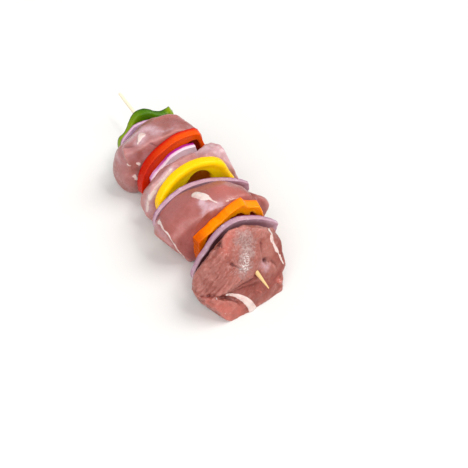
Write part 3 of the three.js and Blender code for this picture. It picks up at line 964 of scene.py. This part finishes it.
# How every wall is made: steps across its back, round the back's edge, along its side, round the front's edge
# and across its front. A noise is its size and its height.
wallMaking = {
    "steps": (20, 5, 10, 9, 46), "backEven": 0.6, "floor": 0.8, "jag": (8, 1), "jagFine": (2.6, 0.5),
    "hollow": (3.5, 1), "hollowFine": (1.5, 0.6), "bumps": (8, 0.22), "bumpsFine": (2.2, 0.07),
    "onionBumps": 0.6, "tipHeight": (30, 35), "outlineSteps": 12, "hollowColumns": 90,
}


def wallProfile(wall):
    # Rows of (share of the outline, millimetres in from it, share of the thickness), back to front
    thick, skin, flesh = wall["thick"], wall["skinEdge"], wall["fleshEdge"]
    back, backEdge, side, frontEdge, front = wallMaking["steps"]
    rows = [(share, skin, 0) for share in np.linspace(0, 1, back)[1:] ** wallMaking["backEven"]]
    for angle in np.linspace(0, math.pi / 2, backEdge)[1:]:
        rows.append((1, skin * (1 - math.sin(angle)), skin * (1 - math.cos(angle)) / thick))
    for depth in np.linspace(skin / thick, 1 - flesh / thick, side)[1:-1]:
        rows.append((1, 0, depth))
    for angle in np.linspace(0, math.pi / 2, frontEdge):
        rows.append((1, flesh * (1 - math.cos(angle)), 1 - flesh * (1 - math.sin(angle)) / thick))
    rows += [(share, flesh, 1) for share in np.linspace(1, 0, front)[1:-1]]
    return np.array(rows)


def roundTrip(points, count):
    # A smooth closed line through the points, as evenly spaced points; a point given twice stays a corner
    points = np.array(points, float)
    line = []
    for index in range(len(points)):
        a, b, c, d = (points[(index + step) % len(points)] for step in (-1, 0, 1, 2))
        if np.allclose(b, c):
            continue
        if np.allclose(a, b):
            a = 2 * b - c
        if np.allclose(c, d):
            d = 2 * c - b
        line += spline(a, b, c, d, wallMaking["outlineSteps"])
    line = np.array(line + line[:1])
    gone = np.concatenate([[0], np.cumsum(np.linalg.norm(np.diff(line, axis=0), axis=1))])
    wanted = np.linspace(0, gone[-1], count, endpoint=False)
    y, z = (np.interp(wanted, gone, line[:, axis]) for axis in (0, 1))
    return np.stack([y + foot[1], z], axis=1)


def insideOf(points, line):
    # How far inside the closed line each point is, below 0 outside it
    closed = np.vstack([line, line[:1]])
    away = nearLine(points, closed)[0]
    x, y = points.T
    inside = np.zeros(len(points), bool)
    for (ax, ay), (bx, by) in zip(closed, closed[1:]):
        crosses = (ay > y) != (by > y)
        inside ^= crosses & (x < ax + (y - ay) * (bx - ax) / (by - ay if by != ay else 1))
    return np.where(inside, away, -away)


def makeWall(node, wall, look, slot, seed):
    making, rows, columns = wallMaking, wallProfile(wall), wall["columns"]
    outline = roundTrip(wall["outline"], columns)
    centre = outline.mean(axis=0)
    spokes = outline - centre
    size = np.linalg.norm(spokes, axis=1)
    along = np.roll(outline, -1, axis=0) - np.roll(outline, 1, axis=0)
    outward = np.stack([along[:, 1], -along[:, 0]], axis=1) / np.linalg.norm(along, axis=1)[:, None]

    share, inset, through = (rows[:, index][:, None] for index in range(3))
    # the knife's edge wanders a little along the rim
    places = np.concatenate([outline, np.zeros((columns, 1))], axis=1)
    wander = wall["jag"] * heights(places, {making["jag"]: seed, making["jagFine"]: seed + 3})
    scale = share * (1 + (wall["lean"] - 1) * through)
    offset = (wander - inset) * np.minimum(share * 3, 1)
    y = centre[0] + scale * spokes[:, 0] + offset * outward[:, 0] * share
    z = centre[1] + scale * spokes[:, 1] + offset * outward[:, 1] * share
    z = np.maximum(z, making["floor"])
    ends = np.abs(spokes[:, 0]) / np.abs(spokes[:, 0]).max()
    thick = wall["thick"] * (1 - wall["taper"] * ends**4 * share**4)
    drop = np.zeros(y.shape)
    if wall["hollow"]:
        flat = np.stack([y.ravel(), z.ravel(), np.zeros(y.size)], axis=1)
        deep = insideOf(flat[:, :2], roundTrip(wall["hollow"], making["hollowColumns"]))
        wander = heights(flat, {making["hollow"]: seed + 6, making["hollowFine"]: seed + 7})
        deep += wall["hollowJag"] * wander
        drop = smoothStep(deep, 0, wall["hollowEdge"]).reshape(y.shape) * (through >= 1)
    depth = through * thick - wall["hollowDepth"] * drop
    grid = np.stack([wallBack(wall, y, z) + depth, y, z], axis=2)

    points = np.vstack([grid[0].mean(axis=0), grid.reshape(-1, 3), grid[-1].mean(axis=0)])
    last = len(points) - 1
    faces = []
    for column in range(columns):
        after = (column + 1) % columns
        faces.append((0, 1 + after, 1 + column))
        for a in range(1, last - columns, columns):
            faces.append((a + column, a + after, a + columns + after, a + columns + column))
        faces.append((last, last - columns + column, last - columns + after))
    piece = newPiece(node)
    mesh = piece.data
    mesh.from_pydata([tuple(point) for point in points * mm], [], faces)
    bumps = heights(points, {making["bumps"]: seed + 1, making["bumpsFine"]: seed + 2})
    if slot == "onion":
        bumps *= making["onionBumps"]
    writePlaces(mesh, points + bumps[:, None] * readNormals(mesh))

    def paint(name, values, first, final):
        writeMark(mesh, name, np.concatenate([[first], np.broadcast_to(values, y.shape).ravel(), [final]]))

    paint("depth", depth, 0, wall["thick"])
    paint("hollow", drop, 0, drop[-1].mean())
    if wall["lobe"]:
        lobe = smoothStep(y - foot[1], *wall["lobe"])
        if wall["tip"]:
            tip = smoothStep(y - foot[1], *wall["tip"]) * smoothStep(z, *making["tipHeight"])
            lobe = np.maximum(lobe, tip)
        paint("lobe", lobe, 0, 0)
    paint("front", np.where(through >= 1, size * (1 - share), 0), 0, wall["thick"])
    finishPiece(piece, node, look)


# The inner colours darken the hollows as painted shade; the face colours are a lighter copy of the flesh on the
# front face, painted light for the light that face misses; the orange's side colour is painted shade.
pepperLooks = {
    "green": {"skin": (34, 66, 2), "under": (60, 98, 0), "flesh": (70, 108, 0), "face": (74, 112, 0),
              "innerToneAndShade": (64, 108, 4), "lobe": (126, 148, 6)},
    "red": {"skin": (182, 10, 0), "under": (204, 44, 0), "flesh": (226, 80, 0), "face": (226, 86, 0),
            "innerToneAndShade": (150, 40, 0), "lobe": (176, 24, 0)},
    "yellow": {"skin": (236, 178, 0), "under": (244, 188, 0), "flesh": (244, 192, 2), "face": (248, 208, 4),
               "innerToneAndShade": (168, 84, 0), "lobe": (246, 194, 0)},
    "orange": {"skin": (238, 112, 0), "under": (250, 130, 0), "flesh": (246, 138, 0), "face": (244, 146, 0),
               "innerToneAndShade": (176, 56, 0), "lobe": (190, 76, 0)},
}
# sizes of the skin's ragged edge, the darker spots, the wet shine and the flesh's cells, in millimetres
pepperSizes = {"edge": 1.5, "spots": 4.5, "wet": 2.2, "cells": 0.5}
pepperSpots = 0.8613  # what the darker spots keep of the colour under the skin
pepperFinish = {
    "Subsurface Weight": 0.12, "Subsurface Scale": 0.002, "Coat Weight": 0.07, "Coat Roughness": 0.08,
    "Specular IOR Level": 0.12,
}


def pepperLook(name):
    look, n, shader = newLook("pepper_" + name)
    tones, sizes, place, depth = pepperLooks[name], pepperSizes, n.place(), n.attribute("depth")
    ragged = n.plus(depth, n.span(n.noise(place, sizes["edge"], 3), 0.3, 0.7, (-0.25, 0.25)))
    colour = n.tint(tones["under"], tones["flesh"], ragged, 1.2, 4.5)
    colour = n.blend(n.span(ragged, 0.9, 1.5, (1, 0), True), colour, tones["skin"])
    # the front face is painted lighter than the flesh, painted light for the light it misses, most on the
    # yellow pepper
    colour = n.tint(colour, tones["face"], n.attribute("front"), 0.5, 3)
    # the hollow is painted darker, painted shade in the sunk place
    colour = n.tint(colour, tones["innerToneAndShade"], n.attribute("hollow"), 0.1, 0.9)
    # a side colour on the flesh: a paler yellow-green on the green pepper, a darker left end on the red, and
    # painted shade on the orange's left end
    share = n.times(n.attribute("lobe"), n.span(depth, 0.6, 1.4, (0.3, 0.9)))
    colour = n.blend(share, colour, tones["lobe"])
    spots = tuple(c * pepperSpots for c in tones["under"])
    colour = n.tint(colour, spots, n.noise(place, sizes["spots"], 4, 0.6, 0.4), 0.52, 0.8, 0.35)

    isSkin = n.span(depth, 0.2, 0.9, (1, 0), True)
    wet = n.noise(place, sizes["wet"], 3, 0.6)
    cells = n.times(n.minus(1.0, isSkin), n.noise(place, sizes["cells"], 3, 0.6))
    n.fill(shader, {
        "Base Color": colour,
        "Roughness": n.minus(n.span(wet, 0.35, 0.7, (0.22, 0.42)), n.times(isSkin, 0.1)),
        "Normal": n.bump(n.plus(cells, n.times(wet, 0.4)), 0.4, 0.0003),
        "Subsurface Radius": tuple(0.25 + 0.75 * c for c in linear(*tones["flesh"])), **pepperFinish,
    })
    return look


# On the plain onions the inner and shade colours are painted shade from the pork beside them; on the pale and
# vivid onions they are the onion's own tone.
onionLooks = {
    "plain": {"skin": (138, 86, 124), "rim": (164, 121, 141), "flesh": (184, 146, 160),
              "innerToneAndShade": (146, 98, 106), "shade": (74, 30, 32), "skinDepth": 0.6},
    "pale": {"skin": (146, 90, 130), "rim": (186, 146, 172), "flesh": (204, 168, 194),
             "innerToneAndShade": (182, 142, 172), "shade": (182, 142, 172), "skinDepth": 0.6},
    "vivid": {"skin": (166, 38, 142), "rim": (214, 168, 206), "flesh": (228, 208, 218),
              "innerToneAndShade": (238, 219, 228), "shade": (238, 219, 228), "skinDepth": 2.5},
}
onionSizes = {"edge": 1.8, "streak": 1.1, "blot": 4, "wet": 2.4}
onionBlot = (226, 214, 226)
onionFinish = {
    "Subsurface Weight": 0.25, "Subsurface Radius": (1, 0.7, 0.9), "Subsurface Scale": 0.002,
    "Coat Weight": 0.12, "Coat Roughness": 0.15, "Specular IOR Level": 0.3,
}
onionKinds = {"onion_back": "pale", "onion_short": "vivid", "onion_middle": "plain", "onion_front": "plain"}


def onionLook(name):
    look, n, shader = newLook("onion_" + name)
    tones, sizes, place, edge = onionLooks[name], onionSizes, n.place(), onionLooks[name]["skinDepth"]
    edgeNoise = n.noise(place, sizes["edge"], 3)
    ragged = n.plus(n.attribute("depth"), n.span(edgeNoise, 0.3, 0.7, (-0.3, 0.3)))
    colour = n.tint(tones["rim"], tones["flesh"], ragged, edge, edge + 1.2)
    # long pale streaks and small blots, as in a wet slice
    streak = n.noise(n.vector("MULTIPLY", place, (1, 0.22, 0.5)), sizes["streak"], 4, 0.6, 0.4)
    colour = n.tint(colour, tones["rim"], streak, 0.5, 0.72, 0.5)
    colour = n.tint(colour, onionBlot, n.noise(place, sizes["blot"], 4, 0.6), 0.5, 0.72, 0.4)
    # away from the rim the front face takes the inner colour: on the plain onions painted shade from the pork
    # beside it, on the others their own tone; on the onion_front, close to the pork, it goes to the shade
    # colour, painted shade
    front, lobe = n.attribute("front"), n.attribute("lobe")
    shadeNearMeat = n.times(lobe, n.span(front, 0.3, 1.3, (0, 0.95), True))
    share = n.math("MAXIMUM", shadeNearMeat, n.span(front, 0.3, 4, (0, 0.88), True))
    colour = n.blend(share, colour, n.blend(lobe, tones["innerToneAndShade"], tones["shade"]))
    skin = n.minus(n.span(ragged, edge * 0.75, edge * 1.15, (1, 0), True), n.times(lobe, 0.6))
    wet = n.noise(place, sizes["wet"], 3, 0.6)
    n.fill(shader, {
        "Base Color": n.blend(n.math("MAXIMUM", skin, 0.0), colour, tones["skin"]),
        "Roughness": n.span(wet, 0.35, 0.7, (0.3, 0.5)),
        "Normal": n.bump(n.plus(n.times(streak, 0.8), wet), 0.3, 0.0003), **onionFinish,
    })
    return look


wallLooks = {"pepper_" + name: pepperLook(name) for name in pepperLooks}
onionMaterials = {name: onionLook(name) for name in onionLooks}
wallLooks.update({node: onionMaterials[kind] for node, kind in onionKinds.items()})
for seed, (node, wall) in enumerate(walls.items(), 20):
    kind, name = node.split("_")
    makeWall(node, wall, wallLooks[node], "onion" if kind == "onion" else name + "_pepper", seed)
    print(node, "made")

# Skewer. fade and warm are where its pale end and its warm tip come in, along x from the foot.
skewer = {
    "Rings": 500, "Sides": 28, "Seed": 2.0, "Radius": 1.42 * mm, "Point length": 15 * mm,
    "Tip radius": 0.28 * mm, "Groove depth": 0.06 * mm, "Groove width": 0.32 * mm, "Groove length": 26 * mm,
    "Worn length": 0.6 * mm, "Worn share": 0.18,
}
skewerInside = {"ends": 0.1, "sides": 0.08}  # millimetres kept free inside its box
bambooSizes = {"fibre": 0.34, "band": 1.6}
bamboo = {"dark": (222, 194, 140), "light": (238, 220, 178), "band": (196, 152, 92),
          "pale": (236, 228, 204), "fade": (-60, -80), "tip": (232, 184, 116), "warm": (100, 112)}


def skewerTree():
    n, given = newTree("skewerShape", {
        "Low end": (0.0, 0.0, 0.0), "High end": (1.0, 0.0, 0.0), **skewer, "Material": None,
    })
    line = n.add("GeometryNodeCurvePrimitiveLine", {"Start": given["Low end"], "End": given["High end"]})
    line = n.add("GeometryNodeResampleCurve", {"Curve": line, "Count": given["Rings"]})
    along = n.add("GeometryNodeSplineParameter", {}, "Length")
    left = n.minus(n.add("GeometryNodeSplineLength", {}), along)
    left = n.math("POWER", n.math("MINIMUM", n.over(left, given["Point length"]), 1.0), 0.85)
    thick = n.plus(given["Tip radius"], n.times(n.minus(given["Radius"], given["Tip radius"]), left))
    # the blunt end is a little worn
    worn = n.math("MINIMUM", n.over(along, given["Worn length"]), 1.0)
    worn = n.times(n.minus(1.0, worn), given["Worn share"])
    thick = n.times(thick, n.minus(1.0, worn))
    ring = n.add("GeometryNodeCurvePrimitiveCircle", {"Resolution": given["Sides"], "Radius": 1.0})
    rod = n.add("GeometryNodeCurveToMesh", {
        "Curve": line, "Profile Curve": ring, "Scale": thick, "Fill Caps": True,
    })
    place = n.add("GeometryNodeInputPosition", {})
    place = n.vector("ADD", place, n.scaled((0.31, 0.17, 0.23), given["Seed"]))
    fine = n.over(1.0, given["Groove width"])
    size = n.add("ShaderNodeCombineXYZ", {"X": n.over(1.0, given["Groove length"]), "Y": fine, "Z": fine})
    value = n.noise(n.vector("MULTIPLY", place, size), 1)
    depth = n.times(n.minus(value, 0.5), n.times(given["Groove depth"], 2.0))
    offset = n.scaled(n.add("GeometryNodeInputNormal", {}), depth)
    rod = n.add("GeometryNodeSetPosition", {"Geometry": rod, "Offset": offset})
    return endTree(n, rod, given["Material"])


def bambooLook():
    look, n, shader = newLook("bamboo")
    place = n.place()
    fibres = n.noise(n.vector("MULTIPLY", place, (0.03, 1, 1)), bambooSizes["fibre"], 3, 0.6)
    colour = n.tint(bamboo["dark"], bamboo["light"], fibres, 0.35, 0.65)
    bands = n.noise(n.vector("MULTIPLY", place, (0.3, 1, 1)), bambooSizes["band"], 3, 0.6)
    colour = n.tint(colour, bamboo["band"], bands, 0.55, 0.75, 0.5)
    x = n.add("ShaderNodeSeparateXYZ", {"Vector": place}, "X")
    for tone, where, most in (("pale", "fade", 0.75), ("tip", "warm", 0.6)):
        share = n.span(x, *(foot[0] + end for end in bamboo[where]), (0, most))
        colour = n.blend(share, colour, bamboo[tone])
    n.fill(shader, {
        "Base Color": colour, "Roughness": n.span(fibres, 0.3, 0.7, (0.45, 0.65)),
        "Normal": n.bump(fibres, 0.5, 0.0002), "Specular IOR Level": 0.3,
    })
    return look


def makeSkewer():
    piece, look = newPiece("skewer"), bambooLook()
    end, side = skewerInside["ends"], skewer["Radius"] / mm + skewerInside["sides"]
    lowEnd = (skewerLow[0] + end, foot[1], skewerHigh[2] - side)
    highEnd = (skewerHigh[0] - end, foot[1], skewerLow[2] + side)
    runTree(piece, skewerTree(), {
        "Low end": tuple(value * mm for value in lowEnd), "High end": tuple(value * mm for value in highEnd),
        "Material": look,
    })
    finishPiece(piece, "skewer", look)


makeSkewer()
print("skewer made")

for piece in bpy.data.objects:
    if piece.name.endswith("_looks"):
        print(piece.name, sum(len(face.vertices) - 2 for face in piece.data.polygons), "triangles")

print("model ready")
